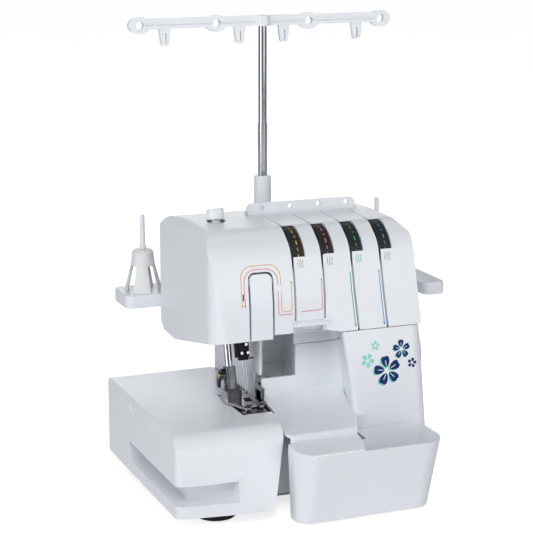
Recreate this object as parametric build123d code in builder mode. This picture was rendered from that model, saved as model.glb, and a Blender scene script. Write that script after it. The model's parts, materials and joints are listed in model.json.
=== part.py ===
from build123d import *
import math
import os

# Four-thread overlock sewing machine, in millimetres.
# Origin: centre of the overall box, on the table. X to the right, Y to the back, Z up.
os.makedirs("parts", exist_ok=True)

# ---------------------------------------------------------------- driving dimensions
left_x = -188.0          # left face of the flat bed cover
right_x = 188.0          # right arm of the spool stand
rear_y = 163.0           # rear edge of the spool stand
wall = 2.8               # wall of the moulded covers
seam = 0.4               # gap between neighbouring covers

bed_top = 94.0           # sewing surface
bed_bottom = 14.4
base_top = 13.0          # top of the base plate
foot_height = 8.0
foot_radius = 22.5

head_left = -130.0
head_right = 92.0
head_rear = 110.0
head_floor = 172.0       # seam between the top cover and the lower housing
body_left = -66.0
body_rear = 110.0
recess_y = -33.0         # wall of the hollow behind the presser foot
recess_seam = 150.6

channel_pitch = 32.0     # spacing of the four threads across the front
channel_x = [-41.0 + channel_pitch * i for i in range(4)]
slot_width = 2.2
dial_width = 12.6
dial_radius = 31.0
dial_y = -26.0
dial_z = 241.0

bar_tilt = 14.0          # needle bar and presser bar lean back by this angle
needle_x = -81.0
needle_y = -34.0         # where the needle line meets the sewing surface
presser_x = -96.0
presser_y = -29.2

shaft_y = 45.0           # main shaft
shaft_z = 110.0
shaft_radius = 6.0
motor_y = 74.0
motor_z = 48.0

pole_x = 2.5
pole_y = 135.0
stand_top = 180.0
stand_thick = 14.0
pin_offsets = [-139.4, -53.4, 53.4, 139.4]
rail_z = 461.0           # underside of the thread guide bar
fin_y = 35.5             # upright thread guide strip on the crown
fin_left, fin_right = -55.0, 68.0
fin_top = 286.5
lever_x = -107.5         # presser foot lever and its pivot
lever_y = -8.0
lever_z = 185.6
take_up_y = -24.0        # pivot of the take-up lever
take_up_z = 212.0
run = 0.05               # radial clearance of running fits


def save(part, name):
    """Label a finished piece and write it to its own file."""
    part.label = name
    export_step(part, f"parts/{name}.step")


def along_x(x, y, z):
    """A plane facing +X, with its own x axis along Y and y axis along Z."""
    return Plane(origin=(x, y, z), x_dir=(0, 1, 0), z_dir=(1, 0, 0))


def leaning(x, y, height):
    """A plane across a bar that crosses the sewing surface at (x, y), at a height along it."""
    lean = math.radians(bar_tilt)
    up = Vector(0, math.sin(lean), math.cos(lean))
    return Plane(origin=Vector(x, y, bed_top) + up * height, x_dir=(1, 0, 0), z_dir=up)


# ---------------------------------------------------------------- shapes of the covers
# Front line of the head from the brow down to the chin, seen from the side: (y, z, bend radius).
brow_left = [(-31, 274, 25), (-54.5, 256.5, 30), (-62.5, 229, 60), (-66.3, 205, 80), (-67.5, 172, 0)]
brow_right = [(-31, 274, 25), (-54.5, 256.5, 30), (-62.5, 230, 60), (-67.5, 210, 60), (-79.5, 172, 0)]
crown = [(head_rear, 246, 30), (86, 270.5, 30), (30, 275.5, 150)]


def head_profile(brow, inset, x):
    """Closed side profile of the head at a place along X, inset from the outside."""
    corners = crown + brow
    with BuildSketch(along_x(x, 0, 0)) as profile:
        with BuildLine():
            Polyline([(head_rear, 110)] + [(y, z) for y, z, bend in corners] + [(brow[-1][0], 110)],
                     close=True)
        make_face()
        for y, z, bend in corners:
            if bend > 0:
                fillet(profile.vertices().sort_by_distance((y, z))[0], bend)
        if inset > 0:
            offset(amount=-inset)
    return profile.sketch


def head_solid(inset):
    """The head as a solid, inset from the outside by the given amount."""
    first = head_left + inset
    last = head_right - inset
    step_x = -8
    with BuildPart() as head:
        extrude(head_profile(brow_left, inset, first), amount=step_x - first)
        extrude(head_profile(brow_right, inset, step_x), amount=last - step_x)
        # rounded corners, seen from the front
        with BuildSketch(Plane.XZ.offset(-head_rear - 5)) as front_view:
            with BuildLine():
                Polyline((first, 100), (first, 277.5 - inset), (head_right - 14, 277.5 - inset),
                         (last, 262 - inset), (last, 100), close=True)
            make_face()
            fillet(front_view.vertices().group_by(Axis.Y)[-1].sort_by(Axis.X)[0], 22 - inset)
        extrude(amount=head_rear + 110, mode=Mode.INTERSECT)
        # rounded corners, seen from above; the right half steps forward over the column
        with BuildSketch(Plane.XY.offset(100)) as top_view:
            with BuildLine():
                Polyline((first, head_rear - inset + 1), (first, -67.4 + inset),
                         (step_x, -67.4 + inset), (step_x + 12, -80 + inset), (last, -80 + inset),
                         (last, head_rear - inset + 1), close=True)
            make_face()
            fillet(top_view.vertices().sort_by(Axis.X)[0:2], 18 - inset)
            fillet(top_view.vertices().group_by(Axis.Y)[-1].sort_by(Axis.X)[-1], 18 - inset)
        extrude(amount=200, mode=Mode.INTERSECT)
        # the chin slopes down to the back, square to the needle bar
        rise = math.tan(math.radians(11))
        with BuildSketch(Plane.YZ.offset(head_left - 5)) as chin_view:
            with BuildLine():
                Polyline((-90, 172.5 + inset), (52, 172.5 + inset - 142 * rise), (86, 147 + inset),
                         (head_rear - inset - 0.5, 164 + inset), (head_rear + 20, 164 + inset),
                         (head_rear + 20, 60), (-90, 60), close=True)
            make_face()
        extrude(amount=body_left - head_left + 5, mode=Mode.SUBTRACT)
    return head.part


head_outer = head_solid(0)
head_inner = head_solid(wall)
head_deep = head_solid(9)
slot_floor = head_solid(7)

# The line where the front cover meets the top cover, seen from the side: low in the recess,
# rising along the side of the column.
seam_line = [(-29, recess_seam), (-33, recess_seam), (-79, head_floor - 0.4)]


def seam_wedge(shift):
    """Side view of the region above the seam, moved up by the given amount."""
    with BuildSketch(Plane.YZ.offset(-72)) as wedge:
        with BuildLine():
            Polyline([(y, z + shift) for y, z in seam_line] + [(-79, 190), (-29, 190)], close=True)
        make_face()
    return wedge.sketch


# Column sections from the floor up: (z, left x, front y, right x).
column_levels = [(16, 18.3, -98.9, 99), (69, 13, -94.5, 97), (139, 6, -86.5, 93.6), (171.6, 2.5, -80.5, 92.4)]
column_side = 15.5       # how far the left side runs to the right on its way back to the recess
hollow_reach = 15.0      # size of the rounded inner corner between recess and column


def corner_fill(low, high):
    """Rounded inner corner between the recess wall and the left side of the column."""
    sections = []
    for z in (low, high):
        left = 19.9 - 0.1 * z
        front = -80.5 - 0.17 * (171.6 - z)
        along = Vector(-column_side, front - recess_y, 0).normalized()
        corner = Vector(left + column_side, recess_y, 0)
        on_wall = corner + Vector(-hollow_reach, 0.3, 0)
        on_side = corner + along * hollow_reach + Vector(0.3, 0, 0)
        with BuildSketch(Plane.XY.offset(z)) as fill_plan:
            with BuildLine():
                Bezier(on_wall, corner, on_side)
                Polyline(on_side, corner + Vector(1.2, 1.2, 0), on_wall)
            make_face()
        sections.append(fill_plan.sketch)
    with BuildPart() as fill:
        loft(sections, ruled=True)
    return fill.part


# ---------------------------------------------------------------- top cover
with BuildPart() as head_cavity:
    add(head_inner)
    # ribs are left standing behind the thread slots
    with Locations([(x - 1, -60, 225) for x in channel_x]):
        Box(9, 110, 104, mode=Mode.SUBTRACT)

with BuildPart() as slots:
    with Locations([(x - slot_width / 2, -60, 232) for x in channel_x[:2]]):
        Box(slot_width, 90, 96)
    with Locations([(x - slot_width / 2, -60, 226) for x in channel_x[2:]]):
        Box(slot_width, 90, 110)
    add(slot_floor, mode=Mode.SUBTRACT)

with BuildPart() as brow_grooves:
    with Locations([(x - 0.7, 4, 260) for x in channel_x]):
        Box(1.4, 42, 40)
    add(head_solid(1.6), mode=Mode.SUBTRACT)

# the wall of the recess and of the column's left side, above the seam
with BuildPart() as recess_panel:
    with BuildSketch(Plane.XY.offset(recess_seam - 1)) as recess_plan:
        with BuildLine():
            Polyline((-30, recess_y), (17.5, recess_y), (3.2, -79), (6.2, -79.8), (21, recess_y + wall),
                     (-30, recess_y + wall), close=True)
        make_face()
    extrude(amount=26)
    add(corner_fill(recess_seam - 1, 176))
    extrude(seam_wedge(seam / 2), amount=110, mode=Mode.INTERSECT)

with BuildPart() as top_cover:
    add(head_outer)
    add(head_cavity.part, mode=Mode.SUBTRACT)
    add(head_deep, mode=Mode.SUBTRACT)
    # open underneath where it stands on the lower housing
    with Locations(((body_left + 150) / 2, 0, head_floor - 50 + 0.2)):
        Box(150 - body_left, 300, 100, mode=Mode.SUBTRACT)
    add(recess_panel.part)
    add(slots.part, mode=Mode.SUBTRACT)
    add(brow_grooves.part, mode=Mode.SUBTRACT)
    # dial windows, and room for the dials behind them
    with Locations([(x + dial_width / 2 - 0.9, -65, 275) for x in channel_x]):
        Box(dial_width + 2.6, 80, 49, mode=Mode.SUBTRACT)
    with Locations([Location((x + dial_width / 2 - 0.9, dial_y, dial_z), (0, 90, 0)) for x in channel_x]):
        Cylinder(dial_radius + 0.8, dial_width + 2.6, mode=Mode.SUBTRACT)
    # opening for the take-up cover, through the front wall
    with BuildSketch(Plane.XZ.offset(40)) as tongue_opening:
        with Locations((-78, 190)):
            Rectangle(27, 92)
        fillet(tongue_opening.vertices().group_by(Axis.Y)[-1], 7)
    extrude(amount=60, mode=Mode.SUBTRACT)
    # openings in the chin for the needle bar and the presser bar
    with BuildSketch(Plane.XY.offset(140)):
        with Locations((-86, -17)):
            RectangleRounded(44, 50, 5)
    extrude(amount=40, mode=Mode.SUBTRACT)
    # hole for the pressure knob
    with BuildSketch(leaning(presser_x, presser_y, 170)):
        Circle(9.8)
    extrude(amount=40, mode=Mode.SUBTRACT)
    # slot for the presser foot lever, through the chin and the back wall
    with Locations((lever_x, 103, 176)):
        Box(9, 46, 74, mode=Mode.SUBTRACT)
    # the thread slots reach through to the tension discs
    with Locations([(x - slot_width / 2, -45, dial_z) for x in channel_x]):
        Box(slot_width, 50, 24, mode=Mode.SUBTRACT)
    # gap for the thread ledge
    with Locations((-28.5, -65, 178)):
        Box(32.6, 30, 11.4, mode=Mode.SUBTRACT)
    # upright strip at the back of the crown with one guide hole for each thread
    with BuildSketch(Plane.XZ.offset(-fin_y - 1.5)) as fin_outline:
        with Locations(((fin_left + fin_right) / 2, (fin_top + 272) / 2)):
            Rectangle(fin_right - fin_left, fin_top - 272)
        fillet(fin_outline.vertices().group_by(Axis.Y)[-1], 7)
    extrude(amount=3)
    with BuildSketch(along_x(fin_left, 0, 0)):
        with BuildLine():
            Polyline((fin_y - 16, 273.5), (fin_y - 6, 275.6), (fin_y - 1, 279), (fin_y + 2, 279),
                     (fin_y + 5, 275.6), (fin_y + 14, 271.5), close=True)
        make_face()
    extrude(amount=fin_right - fin_left)
    with BuildSketch(Plane.XZ.offset(-fin_y - 5)):
        with Locations([(x + 2.6, 281.3) for x in channel_x]):
            Circle(2.5)
    extrude(amount=10, mode=Mode.SUBTRACT)
save(top_cover.part, "top_cover")

# the narrow cover over the take-up lever, set into the head with a dark gap around it
with BuildPart() as take_up_cover:
    with BuildSketch(Plane.XZ.offset(46)) as tongue_front:
        with Locations((-78, 190)):
            Rectangle(23, 88)
        fillet(tongue_front.vertices().group_by(Axis.Y)[-1], 5.5)
    extrude(amount=60)
    add(head_outer, mode=Mode.INTERSECT)
    add(head_inner, mode=Mode.SUBTRACT)
    # clip that reaches behind both edges of the opening
    with Locations((-78, -58.6, 226)):
        Box(16, 4.4, 6)
    with Locations((-78, -57.4, 226)):
        Box(36, 2, 6)
save(take_up_cover.part, "take_up_cover")

# white ledge below the second thread slot, which leads the needle threads to the left
with BuildPart() as thread_ledge:
    with Locations((-28.5, -68.5, 181.3)):
        Box(32, 13, 4.6)
    fillet(thread_ledge.edges().filter_by(Axis.X).group_by(Axis.Y)[0], 2)
    # flange behind the wall of the head
    with Locations((-28.5, -61, 178.1)):
        Box(32, 2, 11)
save(thread_ledge.part, "thread_ledge")

# ---------------------------------------------------------------- lower housing
housing_height = head_floor - base_top - 2 * seam + 0.2
with BuildPart() as rear_housing:
    with BuildSketch(Plane.XY.offset(base_top + seam)) as body_plan:
        with Locations(((body_left + head_right) / 2, (body_rear - 29) / 2)):
            Rectangle(head_right - body_left, body_rear + 29)
        fillet(body_plan.vertices().sort_by_distance((head_right, body_rear))[0], 18)
        fillet(body_plan.vertices().sort_by_distance((body_left, body_rear))[0], 6)
    extrude(amount=housing_height)
    with BuildSketch(Plane.XY.offset(base_top)) as hollow_plan:
        with Locations(((body_left + head_right) / 2, (body_rear - wall - 40) / 2)):
            Rectangle(head_right - body_left - 2 * wall, body_rear - wall + 40)
        fillet(hollow_plan.vertices().sort_by_distance((head_right, body_rear))[0], 18 - wall)
        fillet(hollow_plan.vertices().sort_by_distance((body_left, body_rear))[0], 6 - wall)
    extrude(amount=200, mode=Mode.SUBTRACT)
    # the right side below the rounded corner is the side cover's place
    with Locations((head_right, 28, 95)):
        Box(20, 120, 200, mode=Mode.SUBTRACT)
    # openings in the left wall for the free arm and for the knife and looper arms
    with Locations((body_left, 5, 51)):
        Box(12, 78, 82, mode=Mode.SUBTRACT)
    with Locations((body_left, -22, 105)):
        Box(12, 20, 30, mode=Mode.SUBTRACT)
    # cooling slots low in the back wall
    with Locations([(20 + 9 * i, body_rear, 48) for i in range(6)]):
        Box(3.4, 12, 34, mode=Mode.SUBTRACT)
save(rear_housing.part, "rear_housing")

side_front = -64.6
switch_y, switch_z = 72.0, 56.0
inlet_y, inlet_z = 72.0, 30.0
stitch_y, stitch_z = -8.0, 60.0
feed_y, feed_z = 26.0, 46.0
with BuildPart() as side_cover:
    with BuildSketch(along_x(head_right - wall, 0, 0)):
        with Locations(((side_front + 87.6) / 2, (base_top + head_floor) / 2)):
            Rectangle(87.6 - side_front, head_floor - base_top - 2 * seam)
        with Locations((shaft_y, shaft_z)):
            Circle(12, mode=Mode.SUBTRACT)
        with Locations((stitch_y, stitch_z), (feed_y, feed_z)):
            Circle(5, mode=Mode.SUBTRACT)
        with Locations((switch_y, switch_z)):
            Rectangle(15.2, 21.2, mode=Mode.SUBTRACT)
        with Locations((inlet_y, inlet_z)):
            Rectangle(23.2, 16.2, mode=Mode.SUBTRACT)
    extrude(amount=wall)
    with Locations([(head_right, -20 + 9 * i, 158) for i in range(6)]):
        Box(12, 3.4, 14, mode=Mode.SUBTRACT)
save(side_cover.part, "side_cover")

# dark inner wall behind the loopers
with BuildPart() as looper_guard:
    with BuildSketch(Plane.XY.offset(118)):
        with BuildLine():
            Polyline((body_left + wall + 0.3, 16), (-20, 16), (-20, -28), (-22.5, -28), (-22.5, 13.5),
                     (body_left + wall + 0.3, 13.5), close=True)
        make_face()
    extrude(amount=53)
save(looper_guard.part, "looper_guard")

feet_places = [(-135, -85), (-135, 75), (66, -52), (66, 83)]
hinge_y, hinge_z = -84.0, 22.0
with BuildPart() as base_plate:
    with BuildSketch(Plane.XY.offset(foot_height)) as base_plan:
        with BuildLine():
            Polyline((-160, -108), (-100, -112), (-76, -80), (88, -80), (88, 106), (-60, 106), (-66, 96),
                     (-160, 96), close=True)
        make_face()
        fillet(base_plan.vertices(), 5)
    extrude(amount=base_top - foot_height)
    # lugs that carry the hinge shaft of the front cover
    with Locations((-30, -80, 17), (50, -80, 17)):
        Box(8, 8, 14)
    with Locations([Location((x, hinge_y, hinge_z), (0, 90, 0)) for x in (-30, 50)]):
        Cylinder(7, 8)
        Cylinder(3 + run, 30, mode=Mode.SUBTRACT)
    with Locations([(x, y, base_top) for x, y in feet_places]):
        Hole(2.2)
save(base_plate.part, "base_plate")

with BuildPart() as rubber_feet:
    with BuildSketch(Plane.XY):
        with Locations(feet_places):
            Circle(foot_radius)
    extrude(amount=foot_height)
    chamfer(rubber_feet.edges().filter_by(GeomType.CIRCLE).group_by(Axis.Z)[0], 3)
    with Locations([(x, y, 0) for x, y in feet_places]):
        Cylinder(6.5, 8, mode=Mode.SUBTRACT)
        Cylinder(2.2, 30, mode=Mode.SUBTRACT)
save(rubber_feet.part, "rubber_feet")

with BuildPart() as fixing_screws:
    with BuildSketch(Plane.XY.offset(3)):
        with Locations(feet_places):
            Circle(2.1)
    extrude(amount=base_top - 4)
    with BuildSketch(Plane.XY.offset(1.6)):
        with Locations(feet_places):
            Circle(4.5)
    extrude(amount=2.4)
    # heads of the two screws that hold the needle plate
    with BuildSketch(Plane.XY.offset(bed_top)):
        with Locations((-95.5, -62), (-76, -1)):
            Circle(2.4)
    extrude(amount=0.7)
save(fixing_screws.part, "fixing_screws")

# ---------------------------------------------------------------- flat bed cover
bed_right = -75.0


def bed_block(inset):
    """The flat bed cover as a solid, inset from the outside by the given amount."""
    with BuildPart() as block:
        with BuildSketch(Plane.XY.offset(bed_bottom)) as bed_plan:
            with BuildLine():
                Polyline((left_x + inset, 110 - inset), (left_x + inset, -122 + inset),
                         (-90.5, -135 + inset), (-40, -137 + inset), (-40, 110 - inset), close=True)
            make_face()
            fillet(bed_plan.vertices().sort_by(Axis.X)[0:2], 8 - inset)
        extrude(amount=bed_top - inset - bed_bottom)
        # edges rounded over at the front and at the left
        with BuildSketch(Plane.YZ.offset(left_x - 5)) as side_view:
            with BuildLine():
                Polyline((110 - inset, bed_top - inset), (-116 + inset, bed_top - inset),
                         (-136 + inset, 0), (110 - inset, 0), close=True)
            make_face()
            fillet(side_view.vertices().sort_by_distance((-116, bed_top))[0], 20 - inset)
            fillet(side_view.vertices().sort_by_distance((110, bed_top))[0], 5 - inset)
        extrude(amount=200, mode=Mode.INTERSECT)
        with BuildSketch(Plane.XZ.offset(-115)) as front_view:
            with BuildLine():
                Polyline((left_x + inset, bed_top - inset), (-30, bed_top - inset), (-30, 0),
                         (left_x + inset, 0), close=True)
            make_face()
            fillet(front_view.vertices().sort_by_distance((left_x, bed_top))[0], 6 - inset)
        extrude(amount=260, mode=Mode.INTERSECT)
    return block.part


grip_low, grip_high = 27.0, 47.0      # hand grip that wraps the left front corner
grip_depth = 17.0
with BuildPart() as bed_cover:
    add(bed_block(0))
    with Locations((0, 0, -1)):
        add(bed_block(3), mode=Mode.SUBTRACT)
    add(bed_block(3), mode=Mode.SUBTRACT)
    # right side: upright behind the needle plate, leaning in towards the bin before it
    with Locations((-28.5, 0, 60)):
        Box(80, 300, 120, mode=Mode.SUBTRACT)
    with BuildSketch(Plane.XZ.offset(70)):
        with BuildLine():
            Polyline((bed_right, 100), (bed_right, 88), (-90.5, bed_bottom), (-91, 0), (-40, 0), (-40, 100),
                     close=True)
        make_face()
    extrude(amount=90, mode=Mode.SUBTRACT)
    # cut-out around the needle plate, open to the right
    with Locations((-70, -32.8, 94)):
        Box(60, 74.2, 20, mode=Mode.SUBTRACT)
    # hand grip: a closed pocket sunk into the left and front walls
    with BuildSketch(Plane.XY.offset(grip_low - 3)) as grip_box:
        with BuildLine():
            Polyline((left_x + 1, 36), (left_x + 1, -120.5), (-123, -127.5), (-123, -108),
                     (left_x + 20, -99), (left_x + 20, 36), close=True)
        make_face()
        fillet(grip_box.vertices().sort_by_distance((left_x, -121))[0], 7)
    extrude(amount=grip_high - grip_low + 6)
    with BuildSketch(Plane.XY.offset(grip_low)):
        with BuildLine():
            Polyline((left_x - 5, 33), (left_x - 5, -140), (-126, -140), (-126, -111),
                     (left_x + grip_depth, -102), (left_x + grip_depth, 33), close=True)
        make_face()
    extrude(amount=grip_high - grip_low, mode=Mode.SUBTRACT)
    # finger tab pressed into the top of the left face
    with Locations((left_x, -6, 85)):
        Box(1.6, 62, 8, mode=Mode.SUBTRACT)
save(bed_cover.part, "bed_cover")

# the arm inside the flat bed cover, which carries the needle plate
with BuildPart() as free_arm:
    with Locations((-111.3, -15.5, 73)):
        Box(79.4, 109, 35)
    with Locations((-110, -16, 70)):
        Box(76, 104, 35, mode=Mode.SUBTRACT)
    with Locations((-70, -26, 70)):
        Box(20, 124, 34.9, mode=Mode.SUBTRACT)
    # raised rim under the needle plate, and the window inside it
    with Locations((-85.2, -32.8, 91)):
        Box(27, 72, 1)
    with Locations((-83.7, -32.8, 90)):
        Box(26.4, 62, 12, mode=Mode.SUBTRACT)
    # leg at the far end, and the bridge to the machine frame
    with Locations((-148.5, -16, 34.5)):
        Box(5, 60, 43)
    with Locations((-66, 24, 71)):
        Box(20, 24, 30)
save(free_arm.part, "free_arm")

plate_left, plate_right = -99.4, -71.7
plate_front, plate_back = -69.4, 3.8
feed_slots = [(-94, -26, 44), (-88.5, -24, 44), (-82, -13, 22)]   # (x, y, length)
with BuildPart() as needle_plate:
    with BuildSketch(Plane.XY.offset(91.5)) as plate_plan:
        with Locations(((plate_left + plate_right) / 2, (plate_front + plate_back) / 2)):
            Rectangle(plate_right - plate_left, plate_back - plate_front)
        fillet(plate_plan.vertices().group_by(Axis.Y)[0].sort_by(Axis.X)[0], 9)
        with Locations((needle_x, needle_y)):
            RectangleRounded(7.4, 11, 2, mode=Mode.SUBTRACT)
        for x, y, length in feed_slots:
            with Locations((x, y)):
                SlotOverall(length, 3.6, rotation=90, mode=Mode.SUBTRACT)
    extrude(amount=bed_top - 91.5)
    # stitch finger beside the needle slot
    with Locations((-75.4, -41, 94.2)):
        Box(1.4, 18, 1.4)
save(needle_plate.part, "needle_plate")

with BuildPart() as lower_knife:
    with Locations((-70.5, -45, 85)):
        Box(1.8, 14, 17.6)
    with Locations((-74, -45, 76)):
        Box(8.8, 10, 5)
    with Locations((-76, -58, 74.5)):
        Box(4.8, 24, 8)
save(lower_knife.part, "lower_knife")

# ---------------------------------------------------------------- front cover and hinge
def column_solid(inset):
    """The column of the front cover as a solid, inset from the outside."""
    sections = []
    for z, left, front, right in column_levels:
        level = z
        if inset > 0 and z == 16:
            level = 15
        if inset > 0 and z == 171.6:
            level = 173
        with BuildSketch(Plane.XY.offset(level)) as plan:
            lean = column_side / (recess_y - front)
            with BuildLine():
                Polyline((left + inset * 1.05 + lean * (-10 - front), -10), (left + inset * 1.05, front + inset),
                         (right - inset, front + inset), (head_right - inset, side_front),
                         (head_right - inset, -10), close=True)
            make_face()
            fillet(plan.vertices().sort_by_distance((left, front))[0], 5 - inset)
            fillet(plan.vertices().sort_by_distance((right, front))[0], 12 - inset)
        sections.append(plan.sketch)
    with BuildPart() as column:
        loft(sections, ruled=True)
    return column.part


chute_line = [(recess_y, 103), (-48, 95.5), (-70, 92.3), (-100, 89.5), (-125, 86.2), (-127.5, 83.5), (-127.5, 78)]
chute_under = [(-124.7, 78), (-124.7, 83.2), (-100, 86.7), (-70, 89.5), (-47, 92.6), (recess_y + wall, 100)]
with BuildPart() as chute:
    with BuildSketch(along_x(-74.2, 0, 0)):
        with BuildLine():
            Polyline(chute_line + chute_under + [(recess_y + wall, 103)], close=True)
        make_face()
    extrude(amount=100)
    with BuildSketch(Plane.XY.offset(60)) as chute_plan:
        with BuildLine():
            Polyline((-65.3, -30), (-65.3, -70), (-74.2, -70.4), (-74.2, -128), (-1, -128), (13, -94),
                     (24, recess_y), (24, -30), close=True)
        make_face()
        fillet(chute_plan.vertices().sort_by_distance((-74.2, -128))[0], 10)
    extrude(amount=60, mode=Mode.INTERSECT)

with BuildPart() as front_cover:
    add(column_solid(0))
    add(chute.part)
    # wall of the recess, and the low lip in front of the loopers
    with Locations((0, recess_y + wall / 2, (103 + recess_seam) / 2)):
        Box(56, wall, recess_seam - 103)
    with Locations(((-65 - 20) / 2, recess_y + wall / 2, 109.5)):
        Box(45, wall, 16)
    add(corner_fill(97, 153))
    # skirt below the chute
    with Locations((-25, -93.6, 52)):
        Box(94, wall, 72)
    add(column_solid(wall), mode=Mode.SUBTRACT)
    # open at the back, and cut along the seam below the head
    with Locations((30, 19.8, 90)):
        Box(220, 100, 220, mode=Mode.SUBTRACT)
    with Locations((88, -15.8, 90)):
        Box(60, 100, 220, mode=Mode.SUBTRACT)
    with BuildSketch(Plane.YZ.offset(-72)):
        with BuildLine():
            Polyline([(y, z - seam) for y, z in seam_line[1:]] + [(-79, 190), (-20, 190), (-20, 150.2)],
                     close=True)
        make_face()
    extrude(amount=102, mode=Mode.SUBTRACT)
    with BuildSketch(Plane.YZ.offset(85)):
        with BuildLine():
            Polyline((-79, 171.5), (-60, 170), (-60, 180), (-79, 180), close=True)
        make_face()
    extrude(amount=20, mode=Mode.SUBTRACT)
    # knuckles on the hinge shaft, with room for the two lugs of the base between them
    with Locations((-34, -93, 22)):
        Box(24, 12, 24, mode=Mode.SUBTRACT)
    with Locations((-51, -90, 22), (65, -90.5, 22)):
        Box(10, 11, 12)
    with Locations([Location((x, hinge_y, hinge_z), (0, 90, 0)) for x in (-51, 65)]):
        Cylinder(6.5, 10)
        Cylinder(3 + run, 30, mode=Mode.SUBTRACT)
    # the shaft also passes through the left side of the column
    with Locations(Location((22, hinge_y, hinge_z), (0, 90, 0))):
        Cylinder(3.8, 30, mode=Mode.SUBTRACT)
save(front_cover.part, "front_cover")

with BuildPart() as hinge_shaft:
    with Locations(Location((7, hinge_y, hinge_z), (0, 90, 0))):
        Cylinder(3, 136)
    # collars that carry the cover and the bin along with the shaft
    with Locations([Location((x, hinge_y, hinge_z), (0, 90, 0)) for x in (-57.5, 71.5)]):
        Cylinder(5, 2.6)
save(hinge_shaft.part, "hinge_shaft")

# ---------------------------------------------------------------- trim bin
deck_back = -128.4


def bin_block(level, grow, inset):
    """Plan of the bin at a height: wide at the right, shallow at the left below the chute."""
    left = -72.5 - 3.2 * grow + inset
    front = -151 - 12 * grow + inset
    right = 73 + 9 * grow - inset
    back = -103 + 5.6 * grow - inset
    with BuildSketch(Plane.XY.offset(level)) as plan:
        with BuildLine():
            Polyline((left, deck_back - inset), (left, front), (right, front), (right, back),
                     (9 + inset, back), (9 + inset, deck_back - inset), close=True)
        make_face()
        fillet(plan.vertices().sort_by_distance((left, front))[0], 15 + 6 * grow - inset)
        fillet(plan.vertices().sort_by_distance((right, front))[0], 20 + 4 * grow - inset)
        fillet(plan.vertices().sort_by_distance((right, back))[0], 12 - inset)
    return plan.sketch


with BuildPart() as bin_deck:
    with BuildSketch(along_x(-75.3, 0, 0)):
        with BuildLine():
            Polyline((deck_back - 0.3, 72), (deck_back - 0.3, 79), (-158, 76.7), (-161.4, 75.4), (-162.5, 72),
                     close=True)
        make_face()
    extrude(amount=84.3)
    with BuildSketch(Plane.XY.offset(70)) as deck_plan:
        with BuildLine():
            Polyline((-75.3, deck_back), (-75.3, -164), (-9.3, -164), (-3.3, -146), (0.2, deck_back), close=True)
        make_face()
        fillet(deck_plan.vertices().sort_by_distance((-75.3, -164))[0], 21)
    extrude(amount=20, mode=Mode.INTERSECT)

with BuildPart() as trim_bin:
    loft([bin_block(3, 0, 0), bin_block(74, 1, 0)], ruled=True)
    add(bin_deck.part)
    # pocket for the trimmings, right of the curved edge of the deck
    with BuildPart(mode=Mode.PRIVATE) as pocket:
        loft([bin_block(2, 0, 2.4), bin_block(80, 1.08, 2.4)], ruled=True)
        with BuildSketch(Plane.XY.offset(5.4)):
            with BuildLine():
                Polyline((0.7, -100), (0.5, deck_back), (-3, -146), (-9, -163), (-9, -190), (120, -190),
                         (120, -80), (11.4, -80), (11.4, -100), close=True)
            make_face()
        extrude(amount=90, mode=Mode.INTERSECT)
    add(pocket.part, mode=Mode.SUBTRACT)
    # the left part is hollow from below
    with BuildPart(mode=Mode.PRIVATE) as hollow:
        loft([bin_block(2, 0, 2.4), bin_block(72, 0.97, 2.4)], ruled=True)
        with BuildSketch(Plane.XY):
            with BuildLine():
                Polyline((-2, -100), (-2, deck_back), (-5.5, -146), (-11.5, -163), (-100, -163), (-100, -100),
                         close=True)
            make_face()
        extrude(amount=90, mode=Mode.INTERSECT)
    add(hollow.part, mode=Mode.SUBTRACT)
save(trim_bin.part, "trim_bin")

# ---------------------------------------------------------------- spool stand and mast
with BuildPart() as spool_stand:
    with BuildSketch(Plane.XY.offset(stand_top - stand_thick)) as stand_plan:
        with Locations(((-163 + right_x) / 2, (110.4 + rear_y) / 2)):
            RectangleRounded(right_x + 163, rear_y - 110.4, 10)
        with Locations((175, 88)):
            RectangleRounded(26, 76, 9)
    extrude(amount=stand_thick)
    fillet(spool_stand.edges().group_by(Axis.Z)[-1], 2.5)
    # hollow underneath
    with BuildSketch(Plane.XY.offset(stand_top - stand_thick)):
        with Locations((-78, 136.7), (86, 136.7)):
            RectangleRounded(150, 44, 6)
        with Locations((175, 80)):
            RectangleRounded(18, 48, 5)
    extrude(amount=stand_thick - 3.5, mode=Mode.SUBTRACT)
    # bosses below the four pins
    with Locations([(pole_x + dx, pole_y, stand_top - 8.5) for dx in pin_offsets]):
        Cylinder(7, 11)
    with Locations([(pole_x + dx, pole_y, stand_top) for dx in pin_offsets]):
        Cylinder(3.2, 16, mode=Mode.SUBTRACT)
save(spool_stand.part, "spool_stand")

with BuildPart() as spool_pins:
    for dx in pin_offsets:
        with Locations((pole_x + dx, pole_y, stand_top - 8)):
            Cylinder(3.2, 54, align=(Align.CENTER, Align.CENTER, Align.MIN))
        with Locations((pole_x + dx, pole_y, stand_top + 45.6)):
            Cylinder(3.6, 4, align=(Align.CENTER, Align.CENTER, Align.MIN))
            Cone(3, 2.5, 37.4, align=(Align.CENTER, Align.CENTER, Align.MIN))
save(spool_pins.part, "spool_pins")

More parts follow.
